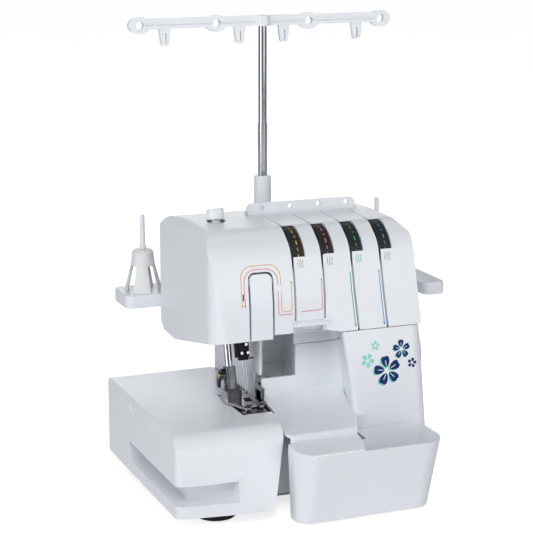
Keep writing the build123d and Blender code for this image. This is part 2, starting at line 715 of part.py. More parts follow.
# cone holders that centre a large thread cone: four kinked legs under a small hub
with BuildPart() as cone_holder:
    Cone(20.5, 13, 29, align=(Align.CENTER, Align.CENTER, Align.MIN))
    with Locations((0, 0, 29)):
        Cone(13, 11.4, 14, align=(Align.CENTER, Align.CENTER, Align.MIN))
    with Locations((0, 0, 43)):
        Cone(11.4, 9, 2.4, align=(Align.CENTER, Align.CENTER, Align.MIN))
    with Locations((0, 0, -0.1)):
        Cone(18.3, 10.8, 29.1, align=(Align.CENTER, Align.CENTER, Align.MIN), mode=Mode.SUBTRACT)
    with Locations((0, 0, 29)):
        Cone(10.8, 9, 9, align=(Align.CENTER, Align.CENTER, Align.MIN), mode=Mode.SUBTRACT)
    # four windows leave four legs
    for turn in (0, 90):
        a = math.radians(turn)
        with BuildSketch(Plane(origin=(0, 0, 0), x_dir=(math.cos(a), math.sin(a), 0),
                               z_dir=(math.sin(a), -math.cos(a), 0))):
            with BuildLine():
                Polyline((-5.4, -1), (-5.4, 3), (-4, 28), (4, 28), (5.4, 3), (5.4, -1), close=True)
            make_face()
        extrude(amount=30, both=True, mode=Mode.SUBTRACT)
    Cylinder(3.7, 60, align=(Align.CENTER, Align.CENTER, Align.MIN), mode=Mode.SUBTRACT)
with BuildPart() as spool_cones:
    with Locations([Location((pole_x + dx, pole_y, stand_top + 0.05), (0, 0, 23)) for dx in pin_offsets]):
        add(cone_holder.part)
save(spool_cones.part, "spool_cones")

with BuildPart() as pole_socket:
    with Locations((pole_x, pole_y, stand_top)):
        Cone(10.5, 9.3, 117.6, align=(Align.CENTER, Align.CENTER, Align.MIN))
        Cone(13.5, 10.5, 8, align=(Align.CENTER, Align.CENTER, Align.MIN))
    fillet(pole_socket.edges().filter_by(GeomType.CIRCLE).group_by(Axis.Z)[-1], 1.5)
    with Locations((pole_x, pole_y, stand_top + 2)):
        Cylinder(5, 150, align=(Align.CENTER, Align.CENTER, Align.MIN), mode=Mode.SUBTRACT)
save(pole_socket.part, "pole_socket")

with BuildPart() as pole_outer_tube:
    with Locations((pole_x, pole_y, stand_top + 2)):
        Cylinder(5, 173, align=(Align.CENTER, Align.CENTER, Align.MIN))
        Cylinder(4.55, 180, align=(Align.CENTER, Align.CENTER, Align.MIN), mode=Mode.SUBTRACT)
save(pole_outer_tube.part, "pole_outer_tube")

with BuildPart() as pole_inner_tube:
    with Locations((pole_x, pole_y, 292)):
        Cylinder(4.5, 176, align=(Align.CENTER, Align.CENTER, Align.MIN))
        Cylinder(3.7, 170, align=(Align.CENTER, Align.CENTER, Align.MIN), mode=Mode.SUBTRACT)
save(pole_inner_tube.part, "pole_inner_tube")

eyelets = [(pole_x + dx, rail_z + 4) for dx in pin_offsets]
hooks = [(x, rail_z - 5.5) for x in (-108.8, -24.3, 27, 113.5)]
with BuildPart() as thread_guide_bar:
    with BuildSketch(Plane.XZ.offset(-132.5)) as bar_outline:
        with Locations((2.5, rail_z + 5.5)):
            RectangleRounded(301, 11, 5)
        with Locations(eyelets):
            Ellipse(12.3, 9)
    extrude(amount=-5)
    # rib line along the middle of the front and back faces
    with Locations((2.5, 135, rail_z + 5.5)):
        Box(286, 8, 1.8)
    with Locations((pole_x, pole_y, rail_z + 5.5)):
        Cylinder(8.5, 11)
        Cylinder(4.5, 30, mode=Mode.SUBTRACT)
    for x, z in hooks:
        with BuildSketch(Plane.XZ.offset(-132.9)):
            with BuildLine():
                Polyline((x - 6.5, z + 7), (x - 5.5, z - 3), (x - 4.3, z - 11), (x - 2.5, z - 12.4),
                         (x + 2.5, z - 12.4), (x + 4.3, z - 11), (x + 5.5, z - 3), (x + 6.5, z + 7), close=True)
            make_face()
            with Locations((x, z - 5)):
                SlotOverall(11, 2.6, rotation=90, mode=Mode.SUBTRACT)
        extrude(amount=-4.2)
    with BuildSketch(Plane.XZ.offset(-125)):
        with Locations(eyelets):
            Circle(4.3)
    extrude(amount=-20, mode=Mode.SUBTRACT)
save(thread_guide_bar.part, "thread_guide_bar")

# ---------------------------------------------------------------- machine frame and drive
wall_left, wall_right = -53.0, 82.5      # middle planes of the two frame walls
with BuildPart() as machine_frame:
    with BuildSketch(along_x(wall_right - 3.5, 0, 0)) as right_wall:
        with BuildLine():
            Polyline((18, base_top), (60, base_top), (60, 92), (98, 100), (98, 150), (70, 160), (48, 238),
                     (18, 238), close=True)
        make_face()
        fillet(right_wall.vertices(), 6)
        with Locations((shaft_y, shaft_z)):
            Circle(10, mode=Mode.SUBTRACT)
        with Locations((36, 165)):
            RectangleRounded(22, 60, 8, mode=Mode.SUBTRACT)
    extrude(amount=7)
    with BuildSketch(along_x(wall_left - 3, 0, 0)) as left_wall:
        with Locations((shaft_y, (base_top + 142) / 2)):
            RectangleRounded(52, 142 - base_top, 6)
        with Locations((shaft_y, shaft_z)):
            Circle(10, mode=Mode.SUBTRACT)
        with Locations((shaft_y, 50)):
            RectangleRounded(26, 56, 8, mode=Mode.SUBTRACT)
    extrude(amount=6)
    # lower beam, upper arm and its branch to the needle bar bracket
    with Locations((15, 26, 17)):
        Box(142, 12, 8)
    with Locations((-2, 33, 211)):
        Box(170, 22, 30)
    with Locations((-4, 33, 211)):
        Box(150, 14, 40, mode=Mode.SUBTRACT)
    with Locations((-53, 33, 182.5)):
        Box(6, 22, 87)
    with Locations((-60, -3, 212)):
        Box(9, 54, 14)
    # bracket in the head, leaning with the bars
    with BuildSketch(leaning(-86, needle_y, 78)):
        with Locations((0, 15)):
            Rectangle(36, 6)
    extrude(amount=76)
    for height, length in ((80, 12), (136, 16)):
        with BuildSketch(leaning(-86, needle_y, height)):
            with Locations((0, 5)):
                RectangleRounded(36, 26, 5)
        extrude(amount=length)
    with Locations((-82, 16.5, 211)):
        Box(30, 21, 24)
    with BuildSketch(leaning(-86, needle_y, 95)):
        with Locations((-10.5, 14)):
            Rectangle(18, 14)
    extrude(amount=38, mode=Mode.SUBTRACT)
    with BuildSketch(leaning(needle_x, needle_y, 60)):
        Circle(6)
    extrude(amount=110, mode=Mode.SUBTRACT)
    with BuildSketch(leaning(presser_x, presser_y, 60)):
        Circle(7)
    extrude(amount=110, mode=Mode.SUBTRACT)
    # bearing of the take-up lever, and the stub that the presser foot lever turns on
    with Locations(Location((-60, take_up_y, take_up_z), (0, 90, 0))):
        Cylinder(3 + run, 20, mode=Mode.SUBTRACT)
    with Locations(Location((lever_x - 3, lever_y, lever_z), (0, 90, 0))):
        Cylinder(2.5, 6.8, align=(Align.CENTER, Align.CENTER, Align.MIN))
    with Locations(Location((lever_x - 4.5, lever_y, lever_z), (0, 90, 0))):
        Cylinder(4, 1.8, align=(Align.CENTER, Align.CENTER, Align.MIN))
save(machine_frame.part, "machine_frame")

with BuildPart() as bar_bushes:
    for x, y, inner, outer in ((needle_x, needle_y, 3.2 + run, 6), (presser_x, presser_y, 4 + run, 7)):
        for height, length in ((79, 14), (135, 12)):
            with BuildSketch(leaning(x, y, height)):
                Circle(outer)
                Circle(inner, mode=Mode.SUBTRACT)
            extrude(amount=length)
save(bar_bushes.part, "bar_bushes")

with BuildPart() as shaft_bushes:
    with Locations([Location((x, shaft_y, shaft_z), (0, 90, 0)) for x in (wall_left, wall_right)]):
        Cylinder(10, 9)
        Cylinder(shaft_radius + run, 20, mode=Mode.SUBTRACT)
save(shaft_bushes.part, "shaft_bushes")

with BuildPart() as main_shaft:
    with Locations(Location((37, shaft_y, shaft_z), (0, 90, 0))):
        Cylinder(shaft_radius, 194)
    with Locations([Location((x, shaft_y, shaft_z), (0, 90, 0)) for x in (-46, 57)]):
        Cylinder(11, 4)
    # counterweight of the crank
    with Locations((-20, shaft_y, shaft_z - 8)):
        Box(12, 16, 26)
save(main_shaft.part, "main_shaft")

pulley_x = 69.0
with BuildPart() as shaft_pulley:
    with Locations(Location((pulley_x, shaft_y, shaft_z), (0, 90, 0))):
        Cylinder(25, 13)
    with Locations([Location((pulley_x + dx, shaft_y, shaft_z), (0, 90, 0)) for dx in (-5.5, 5.5)]):
        Cylinder(27.5, 2)
    with Locations(Location((pulley_x, shaft_y, shaft_z), (0, 90, 0))):
        Cylinder(shaft_radius, 30, mode=Mode.SUBTRACT)
save(shaft_pulley.part, "shaft_pulley")

with BuildPart() as motor_pulley:
    with Locations(Location((pulley_x, motor_y, motor_z), (0, 90, 0))):
        Cylinder(9, 13)
    with Locations(Location((66, motor_y, motor_z), (0, 90, 0))):
        Cylinder(3, 24)
    with Locations([Location((pulley_x + dx, motor_y, motor_z), (0, 90, 0)) for dx in (-5.5, 5.5)]):
        Cylinder(11.5, 2)
save(motor_pulley.part, "motor_pulley")

with BuildPart() as drive_belt:
    for grow, mode in ((2.0, Mode.ADD), (0.05, Mode.SUBTRACT)):
        with BuildSketch(along_x(pulley_x - 3, 0, 0)) as belt_side:
            with Locations((shaft_y, shaft_z)):
                Circle(25 + grow)
            with Locations((motor_y, motor_z)):
                Circle(9 + grow)
            make_hull()
        extrude(amount=6, mode=mode)
save(drive_belt.part, "drive_belt")

with BuildPart() as motor:
    with Locations(Location((14, motor_y, motor_z), (0, 90, 0))):
        Cylinder(26, 76)
    with Locations(Location((53.5, motor_y, motor_z), (0, 90, 0))):
        Cylinder(12, 5)
        Cylinder(3 + run, 12, mode=Mode.SUBTRACT)
    with Locations(Location((-25.5, motor_y, motor_z), (0, 90, 0))):
        Cylinder(12, 5)
save(motor.part, "motor")

with BuildPart() as motor_bracket:
    with BuildSketch(along_x(52.2, 0, 0)) as bracket_side:
        with Locations((motor_y, (base_top + 80) / 2)):
            RectangleRounded(58, 80 - base_top, 6)
        with Locations((motor_y, motor_z)):
            Circle(12.3, mode=Mode.SUBTRACT)
    extrude(amount=3)
    with Locations((62, motor_y, base_top + 1.5)):
        Box(16, 58, 3)
save(motor_bracket.part, "motor_bracket")

with BuildPart() as handwheel:
    with Locations(Location((103, shaft_y, shaft_z), (0, 90, 0))):
        Cylinder(38, 36, align=(Align.CENTER, Align.CENTER, Align.MIN))
    fillet(handwheel.edges().filter_by(GeomType.CIRCLE), 5)
    with Locations(Location((103, shaft_y, shaft_z), (0, 90, 0))):
        Cylinder(32, 40, align=(Align.CENTER, Align.CENTER, Align.MAX), mode=Mode.SUBTRACT)
    with Locations(Location((133, shaft_y, shaft_z), (0, 90, 0))):
        Cylinder(30, 40, align=(Align.CENTER, Align.CENTER, Align.MIN), mode=Mode.SUBTRACT)
    with Locations(Location((96, shaft_y, shaft_z), (0, 90, 0))):
        Cylinder(11, 12, align=(Align.CENTER, Align.CENTER, Align.MIN))
    with Locations(Location((133, shaft_y, shaft_z), (0, 90, 0))):
        Cylinder(12, 4, align=(Align.CENTER, Align.CENTER, Align.MIN))
    # grip flutes round the rim
    with Locations([Location((121, shaft_y + 40.4 * math.cos(a), shaft_z + 40.4 * math.sin(a)), (0, 90, 0))
                    for a in [2 * math.pi * i / 24 for i in range(24)]]):
        Cylinder(3.4, 26, mode=Mode.SUBTRACT)
    with Locations(Location((90, shaft_y, shaft_z), (0, 90, 0))):
        Cylinder(shaft_radius, 44, align=(Align.CENTER, Align.CENTER, Align.MIN), mode=Mode.SUBTRACT)
save(handwheel.part, "handwheel")

# ---------------------------------------------------------------- controls on the right side
for name, y, z, radius in (("stitch_length_dial", stitch_y, stitch_z, 15), ("feed_dial", feed_y, feed_z, 13)):
    with BuildPart() as side_dial:
        with Locations(Location((head_right + 0.4, y, z), (0, 90, 0))):
            Cylinder(radius, 9, align=(Align.CENTER, Align.CENTER, Align.MIN))
        chamfer(side_dial.edges().filter_by(GeomType.CIRCLE).sort_by(Axis.X)[-1], 2)
        with Locations(Location((87, y, z), (0, 90, 0))):
            Cylinder(5 - run, 7, align=(Align.CENTER, Align.CENTER, Align.MIN))
        with Locations([Location((head_right + 5, y + radius * math.cos(a), z + radius * math.sin(a)), (0, 90, 0))
                        for a in [2 * math.pi * i / 16 for i in range(16)]]):
            Cylinder(1.1, 6, mode=Mode.SUBTRACT)
        # pointer ridge across the face
        with Locations((head_right + 9.8, y, z)):
            Box(1.6, 3, radius * 1.4)
    save(side_dial.part, name)

with BuildPart() as switch_frame:
    with Locations((head_right - 5.4, switch_y, switch_z)):
        Box(12, 15, 21)
    with Locations((head_right + 0.8, switch_y, switch_z)):
        Box(1.6, 19, 25)
    with Locations((head_right - 1.4, switch_y, switch_z)):
        Box(12, 11, 17, mode=Mode.SUBTRACT)
save(switch_frame.part, "switch_frame")

with BuildPart() as power_rocker:
    with BuildSketch(Plane.XZ.offset(-switch_y - 5.2)):
        with BuildLine():
            Polyline((head_right - 2.5, switch_z - 3), (head_right + 0.6, switch_z - 6.6),
                     (head_right + 1.4, switch_z), (head_right + 4, switch_z + 6.6),
                     (head_right - 0.5, switch_z + 7), (head_right - 2.5, switch_z + 3), close=True)
        make_face()
    extrude(amount=10.4)
save(power_rocker.part, "power_rocker")

with BuildPart() as power_inlet:
    with Locations((head_right - 7.4, inlet_y, inlet_z)):
        Box(16, 23, 16)
    with Locations((head_right + 0.7, inlet_y, inlet_z)):
        Box(1.4, 28, 20)
    with Locations((head_right - 4, inlet_y, inlet_z)):
        Box(14, 18, 11, mode=Mode.SUBTRACT)
    with Locations([Location((head_right - 12, inlet_y + dy, inlet_z), (0, 90, 0)) for dy in (-4.5, 4.5)]):
        Cylinder(1.2, 7, align=(Align.CENTER, Align.CENTER, Align.MIN))
save(power_inlet.part, "power_inlet")

# ---------------------------------------------------------------- thread tension units
# bracket with one stud for each dial
with BuildPart() as tension_bracket:
    with Locations((11, 8.5, 243)):
        Box(126, 3, 34)
    with Locations((11, 16, 227.6)):
        Box(126, 17, 3)
    for x in channel_x:
        with Locations((x - 8, -12, dial_z)):
            Box(3, 42, 16)
        with Locations(Location((x - 10, dial_y, dial_z), (0, 90, 0))):
            Cylinder(2.5, 22.5, align=(Align.CENTER, Align.CENTER, Align.MIN))
save(tension_bracket.part, "tension_bracket")

with BuildPart() as tension_discs:
    with Locations([Location((x + dx, dial_y, dial_z), (0, 90, 0)) for x in channel_x for dx in (-5.6, -4.4)]):
        Cylinder(13, 0.8)
        Cylinder(2.5, 4, mode=Mode.SUBTRACT)
save(tension_discs.part, "tension_discs")

with BuildPart() as tension_springs:
    for x in channel_x:
        for i in range(4):
            with Locations(Location((x - 3.2 + 1.9 * i, dial_y, dial_z), (0, 90, 0))):
                Cylinder(5.6, 1.2)
        with Locations(Location((x - 0.75, dial_y, dial_z), (0, 90, 0))):
            Cylinder(4.6, 6.5)
            Cylinder(3, 20, mode=Mode.SUBTRACT)
save(tension_springs.part, "tension_springs")

for number, x in enumerate(channel_x):
    with BuildPart() as tension_dial:
        with Locations(Location((x + dial_width / 2 - 0.9, dial_y, dial_z), (0, 90, 0))):
            Cylinder(dial_radius, dial_width)
        chamfer(tension_dial.edges().filter_by(GeomType.CIRCLE), 0.8)
        with Locations(Location((x + 5.6, dial_y, dial_z), (0, -90, 0))):
            Cylinder(dial_radius - 3, 20, align=(Align.CENTER, Align.CENTER, Align.MIN), mode=Mode.SUBTRACT)
            Cylinder(2.5 + run, 60, mode=Mode.SUBTRACT)
        # fine grip ridges round the rim
        with Locations([Location((x + dial_width / 2 - 0.9, dial_y + (dial_radius + 0.2) * math.cos(a),
                                  dial_z + (dial_radius + 0.2) * math.sin(a)), (0, 90, 0))
                        for a in [2 * math.pi * i / 48 for i in range(48)]]):
            Cylinder(0.7, 20, mode=Mode.SUBTRACT)
    save(tension_dial.part, f"tension_dial_{number + 1}")

# ---------------------------------------------------------------- needle bar and presser bar
with BuildPart() as needle_bar:
    with BuildSketch(leaning(needle_x, needle_y, 60)):
        Circle(3.2)
    extrude(amount=118)
    with BuildSketch(leaning(needle_x, needle_y, 122)):
        RectangleRounded(13, 11, 2)
    extrude(amount=10)
save(needle_bar.part, "needle_bar")

needle_pair = (needle_x - 1.3, needle_x + 1.3)
with BuildPart() as needle_clamp:
    with BuildSketch(leaning(needle_x, needle_y, 47)):
        with Locations((-1.5, 0)):
            RectangleRounded(14, 11, 3)
    extrude(amount=21)
    with BuildSketch(leaning(needle_x, needle_y, 44)):
        with Locations((-0.5, 0)):
            RectangleRounded(10, 8, 3)
    extrude(amount=3)
    with BuildSketch(leaning(needle_x, needle_y, 60)):
        Circle(3.2)
    extrude(amount=20, mode=Mode.SUBTRACT)
    # wire guide across the bottom
    with BuildSketch(leaning(needle_x, needle_y, 45)):
        with Locations((0, -6.4)):
            Rectangle(17, 1.4)
    extrude(amount=1.4)
    for x in needle_pair:
        with BuildSketch(leaning(x, needle_y, 30)):
            Circle(1)
        extrude(amount=22, mode=Mode.SUBTRACT)
    # three set screws at the front
    for x, height in ((needle_x - 4.5, 51.5), (needle_x + 2.2, 51.5), (needle_x + 0.8, 60)):
        across = leaning(x, needle_y, height)
        with BuildSketch(Plane(origin=across.origin - across.y_dir * 5.5, x_dir=(1, 0, 0), z_dir=-across.y_dir)):
            Circle(1.7)
        extrude(amount=2.4)
save(needle_clamp.part, "needle_clamp")

with BuildPart() as needles:
    for x in needle_pair:
        with BuildSketch(leaning(x, needle_y, 30)):
            Circle(1)
        extrude(amount=22)
        with BuildSketch(leaning(x, needle_y, 10)):
            Circle(0.45)
        extrude(amount=20)
        with BuildSketch(leaning(x, needle_y, 10)):
            Circle(0.45)
        extrude(amount=-2.4, taper=8)
save(needles.part, "needles")

with BuildPart() as presser_bar:
    with BuildSketch(leaning(presser_x, presser_y, 26)):
        Circle(4)
    extrude(amount=122)
    # lifting block with a finger over the lever
    with BuildSketch(leaning(presser_x, presser_y, 96)):
        with Locations((0, 3)):
            RectangleRounded(12, 14, 2)
    extrude(amount=8)
    with Locations((lever_x + 3, 3, 191)):
        Box(13, 6, 6)
save(presser_bar.part, "presser_bar")

with BuildPart() as presser_spring:
    with BuildSketch(leaning(presser_x, presser_y, 148.2)):
        Circle(5)
        Circle(3.4, mode=Mode.SUBTRACT)
    extrude(amount=13)
    for i in range(5):
        with BuildSketch(leaning(presser_x, presser_y, 149 + 2.6 * i)):
            Circle(5.6)
            Circle(3.4, mode=Mode.SUBTRACT)
        extrude(amount=1.3)
save(presser_spring.part, "presser_spring")

with BuildPart() as pressure_knob:
    with BuildSketch(leaning(presser_x, presser_y, 168)):
        Circle(5)
    extrude(amount=22)
    with BuildSketch(leaning(presser_x, presser_y, 188)):
        Circle(9)
        with Locations([(9.2 * math.cos(a), 9.2 * math.sin(a)) for a in [2 * math.pi * i / 20 for i in range(20)]]):
            Circle(0.7, mode=Mode.SUBTRACT)
    extrude(amount=11)
save(pressure_knob.part, "pressure_knob")

with BuildPart() as presser_lever:
    with BuildSketch(along_x(lever_x - 2, 0, 0)) as lever_side:
        with BuildLine():
            Polyline((-12, 184), (-8, 189.2), (-2, 188), (50, 170.6), (84, 160.5), (98, 157.4), (101, 153.6),
                     (99, 149.8), (86, 151.4), (52, 160.4), (-4, 181.8), (-9, 181.8), close=True)
        make_face()
        with Locations((lever_y, lever_z)):
            Circle(2.5 + run, mode=Mode.SUBTRACT)
    extrude(amount=4)
    with Locations((lever_x, 96, 153.6)):
        Box(8, 10, 6)
save(presser_lever.part, "presser_lever")

foot_pin_y, foot_pin_z = -24.6, 101.6
with BuildPart() as presser_ankle:
    with BuildSketch(leaning(presser_x, presser_y, 15)):
        RectangleRounded(9, 10, 2)
    extrude(amount=12)
    with BuildSketch(leaning(presser_x, presser_y, 20)):
        RectangleRounded(10.6, 12, 2.5)
    extrude(amount=18)
    with BuildSketch(leaning(presser_x, presser_y, 26)):
        Circle(4)
    extrude(amount=14, mode=Mode.SUBTRACT)
    with Locations((presser_x + 2, foot_pin_y, 104.7)):
        Box(14, 9, 13.8)
    with Locations(Location((presser_x, foot_pin_y, foot_pin_z), (0, 90, 0))):
        Cylinder(1.45, 40, mode=Mode.SUBTRACT)
    # clamping screw at the left, and the lever that releases the foot
    with Locations(Location((presser_x - 12, -23, 123), (0, 90, 0))):
        Cylinder(3.2, 8, align=(Align.CENTER, Align.CENTER, Align.MIN))
    with BuildSketch(along_x(presser_x - 8.8, 0, 0)) as release_lever:
        with BuildLine():
            Polyline((-27, 124), (-20, 129), (-11, 124), (-7, 115), (-8, 107), (-12, 106), (-13, 113), (-18, 119),
                     (-27, 119), close=True)
        make_face()
        fillet(release_lever.vertices(), 1.2)
    extrude(amount=2.6)
    with Locations((presser_x - 6.4, -20, 121.5)):
        Box(4, 6, 3)
save(presser_ankle.part, "presser_ankle")

with BuildPart() as presser_foot:
    with BuildSketch(Plane.XY.offset(95.2)) as sole:
        with BuildLine():
            Polyline((-104, -16), (-104, -34), (-98, -44), (-96, -54), (-93, -61), (-87, -62), (-86, -53),
                     (-78, -53), (-77, -58), (-72, -57), (-71.8, -16), close=True)
        make_face()
        with Locations((needle_x, needle_y + 0.5)):
            Rectangle(8, 13, mode=Mode.SUBTRACT)
        fillet(sole.vertices().filter_by(lambda v: v.Y < -50), 1.5)
    extrude(amount=2.4)
    # upturned toe
    with BuildSketch(along_x(-95, 0, 0)):
        with BuildLine():
            Polyline((-50, 96), (-58, 97.6), (-66, 102.6), (-64.6, 103.8), (-57.4, 99.6), (-50, 98.4), close=True)
        make_face()
    extrude(amount=8)
    with BuildSketch(along_x(-77, 0, 0)):
        with BuildLine():
            Polyline((-48, 96), (-55, 97.6), (-62, 101.6), (-60.8, 102.8), (-54.4, 99.6), (-48, 98.4), close=True)
        make_face()
    extrude(amount=5)
    # ears that hold the pin of the ankle
    with Locations((-103.1, -25, 101.6), (-85.9, -25, 101.6)):
        Box(1.8, 16, 12.8)
    with Locations(Location((-104, foot_pin_y, foot_pin_z), (0, 90, 0))):
        Cylinder(1.4, 19, align=(Align.CENTER, Align.CENTER, Align.MIN))
save(presser_foot.part, "presser_foot")

# ---------------------------------------------------------------- loopers, knives, feed
with BuildPart() as take_up_lever:
    with BuildSketch(along_x(-80, 0, 0)) as lever_outline:
        with Locations((take_up_y, take_up_z), (take_up_y - 27, take_up_z)):
            Circle(3.5)
        make_hull()
        with Locations((take_up_y - 27, take_up_z)):
            Circle(1.6, mode=Mode.SUBTRACT)
    extrude(amount=2.5)
    with Locations(Location((-80, take_up_y, take_up_z), (0, 90, 0))):
        Cylinder(3, 24, align=(Align.CENTER, Align.CENTER, Align.MIN))
save(take_up_lever.part, "take_up_lever")

with BuildPart() as upper_looper:
    with BuildSketch(Plane.XZ.offset(25.5)) as looper_side:
        with BuildLine():
            Polyline((-56, 60), (-61, 84), (-64.6, 104), (-63, 113), (-66, 116), (-60.5, 114), (-60.6, 104),
                     (-56.6, 84), (-47, 60), close=True)
        make_face()
        with Locations((-51, 62)):
            Circle(6)
    extrude(amount=3)
    with Locations(Location((-51, -22, 62), (90, 0, 0))):
        Cylinder(3, 13)
save(upper_looper.part, "upper_looper")

with BuildPart() as lower_looper:
    with BuildSketch(Plane.XZ.offset(19.5)) as looper_side:
        with BuildLine():
            Polyline((-64, 45), (-68, 80), (-68, 84), (-63, 84), (-60.5, 74), (-56, 45), close=True)
        make_face()
        with Locations((-60, 45)):
            Circle(6)
    extrude(amount=3)
    with Locations((-66.5, -26.4, 82)):
        Box(3, 12, 4)
    with BuildSketch(Plane.XZ.offset(30.4)) as blade_side:
        with BuildLine():
            Polyline((-64.8, 84), (-83.4, 83.2), (-85, 82.2), (-78, 81), (-64.8, 80), close=True)
        make_face()
    extrude(amount=2)
    with Locations(Location((-60, -16, 45), (90, 0, 0))):
        Cylinder(3, 10)
save(lower_looper.part, "lower_looper")

with BuildPart() as looper_bearings:
    with Locations((-52.5, -12, 50)):
        Box(22, 6.4, 54)
    with Locations((-50, 3.4, 30)):
        Box(6, 30.8, 8)
    with Locations(Location((-51, -14, 62), (90, 0, 0)), Location((-60, -12, 45), (90, 0, 0))):
        Cylinder(3 + run, 20, mode=Mode.SUBTRACT)
save(looper_bearings.part, "looper_bearings")

with BuildPart() as upper_knife:
    with Locations((-68.5, -45, 103.5)):
        Box(1.6, 10, 17)
    with Locations((-67.4, -32, 108)):
        Box(1.6, 26, 5)
    with Locations((-58, -20.5, 108)):
        Box(20.4, 3, 5)
    with Locations((-47.8, -13, 108)):
        Box(3, 18, 5)
save(upper_knife.part, "upper_knife")

with BuildPart() as feed_dogs:
    for x, y, length in feed_slots:
        with Locations((x, y, 88.4)):
            Box(2.8, length - 8, 12)
        with Locations([(x, y - length / 2 + 5.2 + 1.6 * i, 94.4) for i in range(int((length - 9) / 1.6))]):
            Box(2.8, 0.9, 0.8)
    with Locations((-75.5, -7, 80.5)):
        Box(40, 8, 4)
    with Locations((-56.5, 0, 80.5)):
        Box(4, 16, 4)
save(feed_dogs.part, "feed_dogs")
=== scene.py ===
import json
import math

import bpy
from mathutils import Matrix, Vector
from mathutils.bvhtree import BVHTree


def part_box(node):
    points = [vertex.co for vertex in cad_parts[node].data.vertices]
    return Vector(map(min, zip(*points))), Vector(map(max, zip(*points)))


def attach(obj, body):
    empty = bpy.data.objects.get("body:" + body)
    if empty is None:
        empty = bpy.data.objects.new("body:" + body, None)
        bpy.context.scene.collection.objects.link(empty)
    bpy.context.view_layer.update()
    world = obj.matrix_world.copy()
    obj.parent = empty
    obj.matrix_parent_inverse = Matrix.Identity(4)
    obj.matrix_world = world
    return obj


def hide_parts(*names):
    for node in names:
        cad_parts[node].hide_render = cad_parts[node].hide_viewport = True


# Studio scene of a four-thread overlock sewing machine. Lengths are in metres unless a name says mm.
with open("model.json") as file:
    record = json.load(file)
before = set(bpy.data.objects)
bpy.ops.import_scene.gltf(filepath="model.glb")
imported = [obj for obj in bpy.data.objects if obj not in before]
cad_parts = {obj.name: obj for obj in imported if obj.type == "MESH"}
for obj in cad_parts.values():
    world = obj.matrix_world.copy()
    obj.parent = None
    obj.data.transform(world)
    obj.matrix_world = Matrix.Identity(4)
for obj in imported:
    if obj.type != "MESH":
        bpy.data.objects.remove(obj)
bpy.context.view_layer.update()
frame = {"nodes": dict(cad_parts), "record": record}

MM = 0.001
CHANNELS = [-41.0, -9.0, 23.0, 55.0]          # left faces of the four tension dials, mm
DIAL_AXIS_Y, DIAL_AXIS_Z, DIAL_RADIUS = -26.0, 241.0, 31.0
DIAL_HALF_WIDTH = 6.0
LEAN = math.radians(14)                       # of the needle bar and the presser bar
BAR_UP = Vector((0, math.sin(LEAN), math.cos(LEAN)))
BAR_FRONT = Vector((0, -math.cos(LEAN), math.sin(LEAN)))
INK_HEIGHT = 0.00012
IN_FRONT = -0.4                               # a Y that is in front of the whole machine
THREAD_COLOURS = {
    "yellow": (0.80, 0.47, 0.06),
    "pink": (0.78, 0.22, 0.33),
    "green": (0.02, 0.48, 0.27),
    "blue": (0.07, 0.36, 0.72),
}
NAVY = (0.008, 0.03, 0.15)
TURQUOISE = (0.3, 0.78, 0.7)


def add_object(name, data):
    obj = bpy.data.objects.new(name, data)
    bpy.context.scene.collection.objects.link(obj)
    return obj


def make_piece(name, verts, faces, material, body, smooth=True):
    """A mesh in metres that rides on a body."""
    mesh = bpy.data.meshes.new(name)
    mesh.from_pydata(verts, [], faces)
    mesh.materials.append(material)
    for polygon in mesh.polygons:
        polygon.use_smooth = smooth
    obj = add_object(name, mesh)
    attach(obj, body)
    return obj


# ---------------------------------------------------------------- materials
class Nodes:
    """A small helper that builds one node material."""

    def __init__(self, name):
        self.material = bpy.data.materials.new(name)
        self.material.use_nodes = True
        self.tree = self.material.node_tree
        self.shader = self.tree.nodes["Principled BSDF"]
        self.coords = self.tree.nodes.new("ShaderNodeTexCoord").outputs["Object"]

    def add(self, kind, **values):
        node = self.tree.nodes.new(kind)
        for key, value in values.items():
            if key in node.inputs:
                node.inputs[key].default_value = value
            else:
                setattr(node, key, value)
        return node

    def link(self, source, target):
        self.tree.links.new(source, target)

    def noise(self, scale, detail=3.0, stretch=None):
        node = self.add("ShaderNodeTexNoise", Scale=scale, Detail=detail)
        source = self.coords
        if stretch:
            mapping = self.add("ShaderNodeMapping", Scale=stretch)
            self.link(source, mapping.inputs["Vector"])
            source = mapping.outputs["Vector"]
        self.link(source, node.inputs["Vector"])
        return node.outputs["Fac"]

    def spread(self, source, low, high):
        """Map a noise to a range of values."""
        node = self.add("ShaderNodeMapRange")
        node.inputs["From Min"].default_value = 0.3
        node.inputs["From Max"].default_value = 0.7
        node.inputs["To Min"].default_value = low
        node.inputs["To Max"].default_value = high
        self.link(source, node.inputs["Value"])
        return node.outputs["Result"]

    def tint(self, source, dark, light):
        ramp = self.add("ShaderNodeValToRGB")
        ramp.color_ramp.elements[0].position = 0.3
        ramp.color_ramp.elements[0].color = (*dark, 1)
        ramp.color_ramp.elements[1].position = 0.7
        ramp.color_ramp.elements[1].color = (*light, 1)
        self.link(source, ramp.inputs["Fac"])
        self.link(ramp.outputs["Color"], self.shader.inputs["Base Color"])

    def bump(self, source, strength, distance):
        node = self.add("ShaderNodeBump", Strength=strength, Distance=distance)
        self.link(source, node.inputs["Height"])
        self.link(node.outputs["Normal"], self.shader.inputs["Normal"])


